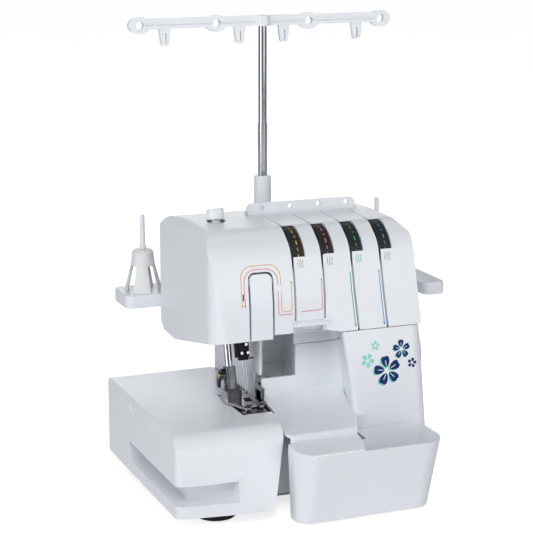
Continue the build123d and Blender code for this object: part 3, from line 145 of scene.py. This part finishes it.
def plastic(name, colour, roughness, grain=900.0, bump=0.08, variation=0.03, coat=0.0, subsurface=0.0):
    """Moulded plastic: a fine spark-eroded grain, slow tint variation and uneven gloss."""
    n = Nodes(name)
    n.tint(n.noise(9.0, 2.0), tuple(c * (1 - variation) for c in colour), colour)
    n.link(n.spread(n.noise(40.0, 4.0), roughness - 0.03, roughness + 0.05), n.shader.inputs["Roughness"])
    n.bump(n.noise(grain, 2.0), bump, 0.0002)
    n.shader.inputs["Coat Weight"].default_value = coat
    n.shader.inputs["Coat Roughness"].default_value = 0.15
    if subsurface:
        n.shader.inputs["Subsurface Weight"].default_value = subsurface
        n.shader.inputs["Subsurface Scale"].default_value = 0.004
    return n.material


def metal(name, colour, roughness, stretch=(1, 1, 1), grain=700.0, bump=0.05, variation=0.12):
    """Ground or plated metal, with a grain that can run in one direction."""
    n = Nodes(name)
    grain_noise = n.noise(grain, 3.0, stretch)
    n.tint(grain_noise, tuple(c * (1 - variation) for c in colour), colour)
    n.link(n.spread(n.noise(120.0, 3.0), roughness * 0.8, roughness * 1.3), n.shader.inputs["Roughness"])
    n.bump(grain_noise, bump, 0.0001)
    n.shader.inputs["Metallic"].default_value = 1.0
    return n.material


def ink(name, colour):
    """Pad-printed ink, slightly uneven and glossier than the plastic below it."""
    n = Nodes(name)
    n.tint(n.noise(300.0, 2.0), tuple(c * 0.88 for c in colour), colour)
    n.link(n.spread(n.noise(500.0, 2.0), 0.5, 0.65), n.shader.inputs["Roughness"])
    n.shader.inputs["Specular IOR Level"].default_value = 0.2
    return n.material


MATERIALS = {
    "white_cover": plastic("white_cover", (0.84, 0.865, 0.905), 0.34, coat=0.15),
    "white_detail": plastic("white_detail", (0.84, 0.865, 0.90), 0.3, grain=1400.0, bump=0.04, coat=0.1),
    "translucent_white": plastic("translucent_white", (0.80, 0.81, 0.82), 0.4, subsurface=0.35),
    "dark_plastic": plastic("dark_plastic", (0.04, 0.042, 0.05), 0.45, variation=0.2, bump=0.15),
    "dial_plastic": plastic("dial_plastic", (0.012, 0.012, 0.013), 0.42, variation=0.25, bump=0.12),
    "rubber": plastic("rubber", (0.014, 0.014, 0.015), 0.75, grain=1600.0, bump=0.25, variation=0.3),
    "steel": metal("steel", (0.62, 0.62, 0.64), 0.26, stretch=(1, 12, 1)),
    "dark_steel": metal("dark_steel", (0.13, 0.135, 0.15), 0.34, stretch=(1, 10, 1), variation=0.2),
    "chrome": metal("chrome", (0.5, 0.51, 0.53), 0.1, grain=200.0, bump=0.01, variation=0.06),
    "cast_metal": metal("cast_metal", (0.55, 0.56, 0.58), 0.5, grain=350.0, bump=0.3, variation=0.15),
    "black_metal": metal("black_metal", (0.02, 0.02, 0.022), 0.38, variation=0.2),
    "zinc_sheet": metal("zinc_sheet", (0.6, 0.61, 0.6), 0.36, grain=60.0, bump=0.04, variation=0.2),
}
INKS = {name: ink(f"ink_{name}", colour) for name, colour in THREAD_COLOURS.items()}
INKS["navy"] = ink("ink_navy", NAVY)
INKS["turquoise"] = ink("ink_turquoise", TURQUOISE)
INKS["grey"] = ink("ink_grey", (0.22, 0.23, 0.26))
INKS["white"] = ink("ink_white", (0.86, 0.88, 0.9))
SCREW_STEEL = metal("screw_steel", (0.78, 0.78, 0.78), 0.3, grain=900.0, variation=0.08)
SCREW_YELLOW = metal("screw_yellow", (0.72, 0.55, 0.22), 0.32, grain=900.0, variation=0.1)

slot_of = {part["node"]: part["material_slot"] for part in frame["record"]["subparts"]}
for node, obj in frame["nodes"].items():
    obj.data.materials.clear()
    obj.data.materials.append(MATERIALS[slot_of[node]])

# Moulded covers and machined parts have softened edges.
EDGE_RADIUS_MM = {
    "top_cover": 0.5, "front_cover": 1.2, "bed_cover": 1.0, "trim_bin": 0.9, "take_up_cover": 0.9,
    "rear_housing": 0.8, "spool_stand": 0.7, "thread_guide_bar": 0.6, "thread_ledge": 0.5,
    "needle_clamp": 0.4, "presser_ankle": 0.5, "presser_foot": 0.3, "needle_plate": 0.2, "free_arm": 0.6,
    "machine_frame": 0.6, "pole_socket": 0.4, "pressure_knob": 0.4, "handwheel": 0.6, "upper_knife": 0.15,
    "spool_cones": 0.4, "looper_guard": 0.4, "base_plate": 0.3, "presser_lever": 0.4,
}


def soften(obj, radius_mm):
    """Join the shell's faces, round its sharp edges and shade it smoothly."""
    weld = obj.modifiers.new("join", "WELD")
    weld.merge_threshold = 1e-6
    bevel = obj.modifiers.new("soft_edges", "BEVEL")
    bevel.width = radius_mm * MM
    bevel.segments = 3
    bevel.limit_method = "ANGLE"
    bevel.angle_limit = math.radians(32)
    obj.modifiers.new("shading", "WEIGHTED_NORMAL").keep_sharp = False


for node, radius in EDGE_RADIUS_MM.items():
    soften(frame["nodes"][node], radius)


# ---------------------------------------------------------------- printed marks
def surface_of(node):
    """Search tree of a CAD node's surface."""
    graph = bpy.context.evaluated_depsgraph_get()
    return BVHTree.FromObject(frame["nodes"][node], graph)


HEAD = surface_of("top_cover")
FRONT = surface_of("front_cover")


def drop(tree, x_mm, z_mm, lift=INK_HEIGHT):
    """The surface point in front of (x, z), lifted by the thickness of the ink."""
    start = Vector((x_mm * MM, IN_FRONT, z_mm * MM))
    hit, normal, _, _ = tree.ray_cast(start, Vector((0, 1, 0)))
    if hit is None:
        return None
    if normal.y > 0:
        normal = -normal
    return hit + normal * lift


def resample(points, step=1.0):
    """Points along a polyline, about one step apart."""
    path = []
    for (x0, z0), (x1, z1) in zip(points, points[1:]):
        count = max(1, round(math.hypot(x1 - x0, z1 - z0) / step))
        path += [(x0 + (x1 - x0) * i / count, z0 + (z1 - z0) * i / count) for i in range(count)]
    return path + [points[-1]]


def arc(cx, cz, radius, start, end, steps=10):
    """Points on an arc, with angles in degrees from +X towards +Z."""
    angles = [math.radians(start + (end - start) * i / steps) for i in range(steps + 1)]
    return [(cx + radius * math.cos(a), cz + radius * math.sin(a)) for a in angles]


def stroke(name, tree, points, width, colour, body="machine_body", arrow=False, lift=INK_HEIGHT):
    """A printed line that follows the surface, with an arrow head at its end if arrow is true."""
    path = resample(points)
    verts, faces = [], []
    for i, (x, z) in enumerate(path):
        ax, az = path[max(i - 1, 0)]
        bx, bz = path[min(i + 1, len(path) - 1)]
        length = math.hypot(bx - ax, bz - az) or 1.0
        nx, nz = -(bz - az) / length, (bx - ax) / length
        left = drop(tree, x + nx * width / 2, z + nz * width / 2, lift)
        right = drop(tree, x - nx * width / 2, z - nz * width / 2, lift)
        if left is None or right is None:
            continue
        verts += [left, right]
        if len(verts) >= 4:
            k = len(verts)
            faces.append((k - 4, k - 3, k - 1, k - 2))
    if arrow:
        x, z = path[-1]
        px, pz = path[-2]
        length = math.hypot(x - px, z - pz)
        dx, dz = (x - px) / length, (z - pz) / length
        reach, half = width * 3.2, width * 1.5
        corners = [(x + dx * reach, z + dz * reach), (x - dz * half, z + dx * half),
                   (x + dz * half, z - dx * half)]
        tips = [drop(tree, cx, cz) for cx, cz in corners]
        if None not in tips:
            k = len(verts)
            verts += tips
            faces.append((k, k + 1, k + 2))
    return make_piece(name, verts, faces, INKS[colour], body)


# threading path of the two needle threads round the take-up cover
TONGUE_X = -78.0
PATH_LEFT_END, PATH_RIGHT_END, PATH_BEND = 205.0, 222.0, 12.0
for name, colour, half, top in (("left_needle_path", "yellow", 21.0, 242.5),
                                ("right_needle_path", "pink", 17.8, 238.8)):
    line = [(TONGUE_X - half, PATH_LEFT_END), (TONGUE_X - half, top - PATH_BEND)]
    line += arc(TONGUE_X - half + PATH_BEND, top - PATH_BEND, PATH_BEND, 180, 90)
    line += arc(TONGUE_X + half - PATH_BEND, top - PATH_BEND, PATH_BEND, 90, 0)
    line += [(TONGUE_X + half, PATH_RIGHT_END)]
    stroke(name, HEAD, line[::-1], 0.75, colour, arrow=True)
stroke("take_up_mark", HEAD, [(-97.4, 216), (-97.4, 209.5)], 1.3, "navy")
stroke("left_needle_loop", HEAD,
       [(-57, 216), (-57, 196.5), (-55.5, 195), (-47.0, 195), (-46, 196), (-46, 223)],
       0.75, "yellow", arrow=True)
stroke("right_needle_loop", HEAD, [(-60.4, 216), (-60.4, 193.5), (-58.5, 192), (-45.2, 192)],
       0.75, "pink")
stroke("right_needle_lead", HEAD, [(-36, 193.5), (-14.5, 193.5), (-13, 195), (-13, 223)],
       0.75, "pink", arrow=True)
stroke("upper_looper_lead", HEAD, [(18.6, 229), (18.6, 178)], 0.95, "green", arrow=True)
stroke("lower_looper_lead", HEAD, [(50.6, 229), (50.6, 177)], 0.95, "blue", arrow=True)

# small stitch symbols under the dials
for number, (x, colour) in enumerate(zip(CHANNELS, ("yellow", "grey", "green", "grey"))):
    for column in range(3):
        cx = x + 4.2 + 2.5 * column
        line = [(cx + 0.8 * math.sin(t * 0.9), 245 - t * 0.9) for t in range(10)]
        shade = colour if column == 0 or number == 2 else "grey"
        stroke(f"stitch_symbol_{number + 1}_{column + 1}", HEAD, line, 0.5, shade)


# ---------------------------------------------------------------- flowers on the column
PETALS, PATCH_RINGS = 5, 4


def petal_outline(cx, cz, angle, length, width, steps=18):
    """Outline of one petal that starts at the flower's centre."""
    points = []
    for i in range(steps):
        t = 2 * math.pi * i / steps
        along = length * (0.54 - 0.46 * math.cos(t))
        across = width * 0.5 * math.sin(t) * (0.5 + 0.5 * along / length)
        along -= 0.1 * length * math.exp(-((t - math.pi) / 0.35) ** 2)          # the notch at the tip
        points.append((cx + along * math.cos(angle) - across * math.sin(angle),
                       cz + along * math.sin(angle) + across * math.cos(angle)))
    return points


def print_patch(name, tree, outline, colour, lift):
    """A filled printed shape, laid on the surface as a fan of rings."""
    cx = sum(p[0] for p in outline) / len(outline)
    cz = sum(p[1] for p in outline) / len(outline)
    verts = [drop(tree, cx, cz, lift)]
    for ring in range(1, PATCH_RINGS + 1):
        f = ring / PATCH_RINGS
        verts += [drop(tree, cx + (x - cx) * f, cz + (z - cz) * f, lift) for x, z in outline]
    if None in verts:
        return
    count = len(outline)
    faces = [(0, 1 + i, 1 + (i + 1) % count) for i in range(count)]
    for ring in range(PATCH_RINGS - 1):
        a, b = 1 + ring * count, 1 + (ring + 1) * count
        faces += [(a + i, b + i, b + (i + 1) % count, a + (i + 1) % count) for i in range(count)]
    make_piece(name, verts, faces, INKS[colour], "front_door")


def flower(name, cx, cz, size, turn, colour, shadow=False):
    """A printed flower. A shadow is the same flower in turquoise, a little to the left of it and lower."""
    layers = [(colour, 0.0, INK_HEIGHT)]
    if shadow:
        layers.append(("turquoise", 0.13 * size, INK_HEIGHT / 2))
    for shade, shift, lift in layers:
        for k in range(PETALS):
            angle = math.radians(turn + 360.0 * k / PETALS)
            start_x = cx - shift + 0.16 * size * math.cos(angle)
            start_z = cz - shift * 0.6 + 0.16 * size * math.sin(angle)
            outline = petal_outline(start_x, start_z, angle, size, size * 0.86)
            print_patch(f"{name}_{shade}_petal_{k + 1}", FRONT, outline, shade, lift)
            if shift == 0 and shadow:
                vein = [(start_x + r * size * math.cos(angle), start_z + r * size * math.sin(angle))
                        for r in (0.18, 0.62)]
                stroke(f"{name}_vein_{k + 1}", FRONT, vein, 0.055 * size, "white", "front_door",
                       lift=INK_HEIGHT * 1.5)


flower("large_flower", 50.0, 129.0, 13.5, 100, "navy", shadow=True)
flower("right_bloom", 67.0, 149.0, 8.6, 20, "navy", shadow=True)
flower("left_bloom", 28.5, 141.0, 6.5, 60, "turquoise")
flower("right_bud", 78.0, 134.0, 4.6, 75, "navy")
flower("small_bloom", 38.0, 155.0, 4.4, 10, "turquoise")


# ---------------------------------------------------------------- numbers on the tension dials
DIGIT_HEIGHT, DIGIT_PITCH, DIGIT_FACING_FRONT, FRONT_ANGLE = 3.4, 27.0, 4, 52.0
CAP_HEIGHT_TO_SIZE = 1.4
TICK = ((-0.55, -2.3), (0.55, -2.3), (0.55, 0), (-0.55, 0), (0.55, 2.3), (-0.55, 2.3))


def flat_text(words, height_mm):
    """Flat text as lists of points and faces, centred on the origin, in mm."""
    curve = bpy.data.curves.new("digit", "FONT")
    curve.body = words
    curve.size = 1.0
    curve.align_x = "CENTER"
    curve.align_y = "CENTER"
    holder = add_object("digit", curve)
    bpy.context.view_layer.update()
    mesh = bpy.data.meshes.new_from_object(holder)
    size = height_mm * CAP_HEIGHT_TO_SIZE
    points = [(v.co.x * size, v.co.y * size) for v in mesh.vertices]
    faces = [tuple(p.vertices) for p in mesh.polygons]
    bpy.data.objects.remove(holder)
    bpy.data.curves.remove(curve)
    bpy.data.meshes.remove(mesh)
    return points, faces


DIGITS = [flat_text(str(n), DIGIT_HEIGHT) for n in range(10)]


def on_dial(x, angle, lift=0.14):
    """A point on a dial's rim, with the angle counted up from the front."""
    r = (DIAL_RADIUS + lift) * MM
    return Vector((x * MM, DIAL_AXIS_Y * MM - r * math.cos(angle),
                   DIAL_AXIS_Z * MM + r * math.sin(angle)))


for number, (x, colour) in enumerate(zip(CHANNELS, THREAD_COLOURS)):
    centre = x + DIAL_HALF_WIDTH
    verts, faces = [], []
    for n, (points, digit_faces) in enumerate(DIGITS):
        middle = math.radians(FRONT_ANGLE - DIGIT_PITCH * (n - DIGIT_FACING_FRONT))
        base = len(verts)
        verts += [on_dial(centre + px, middle + py / DIAL_RADIUS) for px, py in points]
        faces += [tuple(base + i for i in face) for face in digit_faces]
        if n < len(DIGITS) - 1:
            tick = middle - math.radians(DIGIT_PITCH / 2)
            base = len(verts)
            verts += [on_dial(centre + dx, tick + dz / DIAL_RADIUS) for dx, dz in TICK]
            faces += [(base, base + 1, base + 2, base + 3), (base + 3, base + 2, base + 4, base + 5)]
    make_piece(f"dial_numbers_{number + 1}", verts, faces, INKS[colour], f"dial_{number + 1}")


# ---------------------------------------------------------------- slotted screw heads
HEAD_LEVELS = ((1.0, 0.0), (1.0, 0.72), (0.93, 0.93), (0.82, 1.0))      # (scale of radius, share of height)
HEAD_COLUMNS, SLOT_SHARE, SLOT_FLOOR, FLOOR_SIDES = 12, 0.2, 0.3, 24


def screw_head(name, centre, facing, turn, radius, height, material, body):
    """A slotted screw head with a rounded rim, in mm, that faces along a direction."""
    up = Vector(facing).normalized()
    side = up.orthogonal().normalized()
    other = up.cross(side)
    turned = math.radians(turn)
    side, other = (side * math.cos(turned) + other * math.sin(turned),
                   other * math.cos(turned) - side * math.sin(turned))
    half = SLOT_SHARE * radius
    verts, faces = [], []
    for sign in (-1, 1):
        # each half of the head is a stack of outlines between the slot and the rim
        start = math.asin(half / radius)
        angles = [start + (math.pi - 2 * start) * i / HEAD_COLUMNS for i in range(HEAD_COLUMNS + 1)]
        outline = [(math.cos(angle), math.sin(angle)) for angle in angles]
        base = len(verts)
        for scale, level in HEAD_LEVELS:
            for u, v in outline:
                depth = max(half, v * radius * scale)
                verts.append(tuple((Vector(centre) + side * u * radius * scale + other * sign * depth
                                    + up * level * height) * MM))
        count = HEAD_COLUMNS + 1
        for row in range(len(HEAD_LEVELS) - 1):
            for i in range(HEAD_COLUMNS):
                a, b = base + row * count + i, base + (row + 1) * count + i
                faces.append((a, a + 1, b + 1, b) if sign > 0 else (a, b, b + 1, a + 1))
            a, b = base + row * count, base + (row + 1) * count
            c, d = b + HEAD_COLUMNS, a + HEAD_COLUMNS
            faces.append((a, b, c, d) if sign > 0 else (a, d, c, b))
        top = [base + (len(HEAD_LEVELS) - 1) * count + i for i in range(count)]
        faces.append(tuple(top if sign > 0 else top[::-1]))
    floor_base = len(verts)
    for i in range(FLOOR_SIDES):
        angle = 2 * math.pi * i / FLOOR_SIDES
        spoke = side * math.cos(angle) + other * math.sin(angle)
        verts.append(tuple((Vector(centre) + spoke * radius * 0.99 + up * SLOT_FLOOR * height) * MM))
    faces.append(tuple(floor_base + i for i in range(FLOOR_SIDES)))
    make_piece(name, verts, faces, material, body, smooth=False)


NEEDLE_X, NEEDLE_Y, BED_TOP = -81.0, -34.0, 94.0
CLAMP_FRONT = 7.9                             # from the needle bar's axis
for number, (dx, height, turn) in enumerate(((-4.5, 51.5, 20), (2.2, 51.5, 70), (0.8, 60.0, -30))):
    place = Vector((NEEDLE_X + dx, NEEDLE_Y, BED_TOP)) + BAR_UP * height + BAR_FRONT * CLAMP_FRONT
    screw_head(f"needle_screw_{number + 1}", place, BAR_FRONT, turn, 1.6, 0.9, SCREW_STEEL,
               "needle_carrier")
screw_head("ankle_screw", (-107.95, -23, 123), (-1, 0, 0), 35, 3.0, 1.1, SCREW_YELLOW,
           "presser_carrier")


# ---------------------------------------------------------------- wound springs
STEPS_PER_TURN = 16


def coil(name, start, end, radius, wire, turns, body):
    """A helical spring of round wire between two points, in mm."""
    start, end = Vector(start) * MM, Vector(end) * MM
    along = (end - start).normalized()
    side = along.orthogonal().normalized()
    other = along.cross(side)
    curve = bpy.data.curves.new(name, "CURVE")
    curve.dimensions = "3D"
    curve.bevel_depth = wire * MM
    curve.bevel_resolution = 3
    steps = turns * STEPS_PER_TURN
    spline = curve.splines.new("POLY")
    spline.points.add(steps)
    for i in range(steps + 1):
        angle = 2 * math.pi * i / STEPS_PER_TURN
        offset = side * math.cos(angle) + other * math.sin(angle)
        point = start.lerp(end, i / steps) + offset * radius * MM
        spline.points[i].co = (*point, 1)
    holder = add_object(name, curve)
    mesh = bpy.data.meshes.new_from_object(holder.evaluated_get(bpy.context.evaluated_depsgraph_get()))
    bpy.data.objects.remove(holder)
    mesh.materials.append(MATERIALS["steel"])
    obj = add_object(name, mesh)
    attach(obj, body)
    return obj


spring_low, spring_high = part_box("presser_spring")
middle = (spring_low + spring_high) / 2 / MM
half_length = BAR_UP * 6.4
presser_coil = coil("presser_coil", middle - half_length, middle + half_length, 4.4, 0.55, 6,
                    "presser_carrier")
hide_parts("presser_spring")
tension_coils = [coil(f"tension_coil_{i + 1}", (x - 3.4, DIAL_AXIS_Y, DIAL_AXIS_Z),
                      (x + 4.4, DIAL_AXIS_Y, DIAL_AXIS_Z), 4.2, 0.4, 5, "machine_body")
                 for i, x in enumerate(CHANNELS)]
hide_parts("tension_springs")


# ---------------------------------------------------------------- skirt below the guard behind the loopers
guard_low, guard_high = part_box("looper_guard")
SKIRT_SECTION = [(0.0, guard_low.z / MM + 0.2), (0.0, 106.0), (0.4, 102.5), (1.7, 100.2), (3.8, 99.0),
                 (6.6, 98.6)]                 # (distance inward, height), mm
SKIRT_COLUMNS = 15


def skirt(name, start, end, inward):
    """A thin moulded sheet in mm that hangs from the guard and curls inward at its lower edge."""
    verts, faces = [], []
    for i in range(SKIRT_COLUMNS):
        place = Vector(start).lerp(Vector(end), i / (SKIRT_COLUMNS - 1))
        verts += [((place.x + inward[0] * d) * MM, (place.y + inward[1] * d) * MM, z * MM)
                  for d, z in SKIRT_SECTION]
    count = len(SKIRT_SECTION)
    for i in range(SKIRT_COLUMNS - 1):
        for j in range(count - 1):
            a, b = i * count + j, (i + 1) * count + j
            faces.append((a, b, b + 1, a + 1))
    obj = make_piece(name, verts, faces, MATERIALS["white_detail"], "machine_body")
    thickness = obj.modifiers.new("thickness", "SOLIDIFY")
    thickness.thickness = 1.8 * MM
    thickness.offset = 0
    obj.modifiers.new("edges", "BEVEL").width = 0.4 * MM


guard_right = guard_high.x / MM - 1.25
skirt("looper_guard_skirt", (guard_low.x / MM + 1.0, 15.6), (guard_right + 1.0, 15.6), (0, -1))
skirt("looper_guard_side_skirt", (guard_right, 14.5), (guard_right, guard_low.y / MM + 0.6), (-1, 0))

# ---------------------------------------------------------------- stage, light and camera
floor_mesh = bpy.data.meshes.new("floor")
floor_mesh.from_pydata([(-8, -8, 0), (8, -8, 0), (8, 8, 0), (-8, 8, 0)], [], [(0, 1, 2, 3)])
paper = Nodes("paper")
paper.tint(paper.noise(3.0, 2.0), (0.9, 0.9, 0.905), (0.92, 0.92, 0.925))
paper.shader.inputs["Roughness"].default_value = 0.9
glow = paper.add("ShaderNodeEmission", Strength=0.75)
both = paper.add("ShaderNodeAddShader")
seen_floor = paper.add("ShaderNodeMixShader")
paper.link(paper.shader.outputs["BSDF"], both.inputs[0])
paper.link(glow.outputs["Emission"], both.inputs[1])
paper.link(paper.add("ShaderNodeLightPath").outputs["Is Camera Ray"], seen_floor.inputs["Fac"])
paper.link(paper.shader.outputs["BSDF"], seen_floor.inputs[1])
paper.link(both.outputs["Shader"], seen_floor.inputs[2])
paper.link(seen_floor.outputs["Shader"], paper.tree.nodes["Material Output"].inputs["Surface"])
floor_mesh.materials.append(paper.material)
add_object("floor", floor_mesh)


def area_light(name, place, target, size, power, colour=(1, 1, 1)):
    data = bpy.data.lights.new(name, "AREA")
    data.shape = "SQUARE"
    data.size = size
    data.energy = power
    data.color = colour
    obj = add_object(name, data)
    obj.location = place
    obj.rotation_euler = (Vector(target) - Vector(place)).to_track_quat("-Z", "Y").to_euler()


area_light("key", (-0.8, -1.75, 1.9), (0, 0, 0.2), 1.1, 27, (1.0, 0.995, 0.985))
area_light("left_fill", (-2.1, -0.7, 0.5), (0, 0, 0.2), 1.0, 11)
area_light("right_fill", (1.0, -2.2, 0.6), (0, 0, 0.22), 1.0, 8)
area_light("back", (0.5, 2.1, 0.8), (0, 0, 0.25), 1.2, 6)

# The backdrop is white where the camera looks straight at it, and gives a softer light to the object.
world = bpy.data.worlds.new("studio")
bpy.context.scene.world = world
world.use_nodes = True
world_nodes = world.node_tree
backdrop = world_nodes.nodes["Background"]
backdrop.inputs["Color"].default_value = (0.92, 0.96, 1.0, 1)
backdrop.inputs["Strength"].default_value = 0.27
seen = world_nodes.nodes.new("ShaderNodeBackground")
seen.inputs["Strength"].default_value = 1.0
seen.inputs["Color"].default_value = (1, 1, 1, 1)
ray = world_nodes.nodes.new("ShaderNodeLightPath")
either = world_nodes.nodes.new("ShaderNodeMixShader")
world_nodes.links.new(ray.outputs["Is Camera Ray"], either.inputs["Fac"])
world_nodes.links.new(backdrop.outputs["Background"], either.inputs[1])
world_nodes.links.new(seen.outputs["Background"], either.inputs[2])
world_nodes.links.new(either.outputs["Shader"], world_nodes.nodes["World Output"].inputs["Surface"])
bpy.context.scene.view_settings.view_transform = "Standard"

camera_data = bpy.data.cameras.new("camera")
camera_data.sensor_width = 36.0
camera_data.lens = 113.9
camera = add_object("camera", camera_data)
camera.location = (-0.6743, -1.5688, 0.6074)
aim = Vector((0.03, 0.192, 0.18)) - Vector(camera.location)
camera.rotation_euler = aim.to_track_quat("-Z", "Y").to_euler()
bpy.context.scene.camera = camera
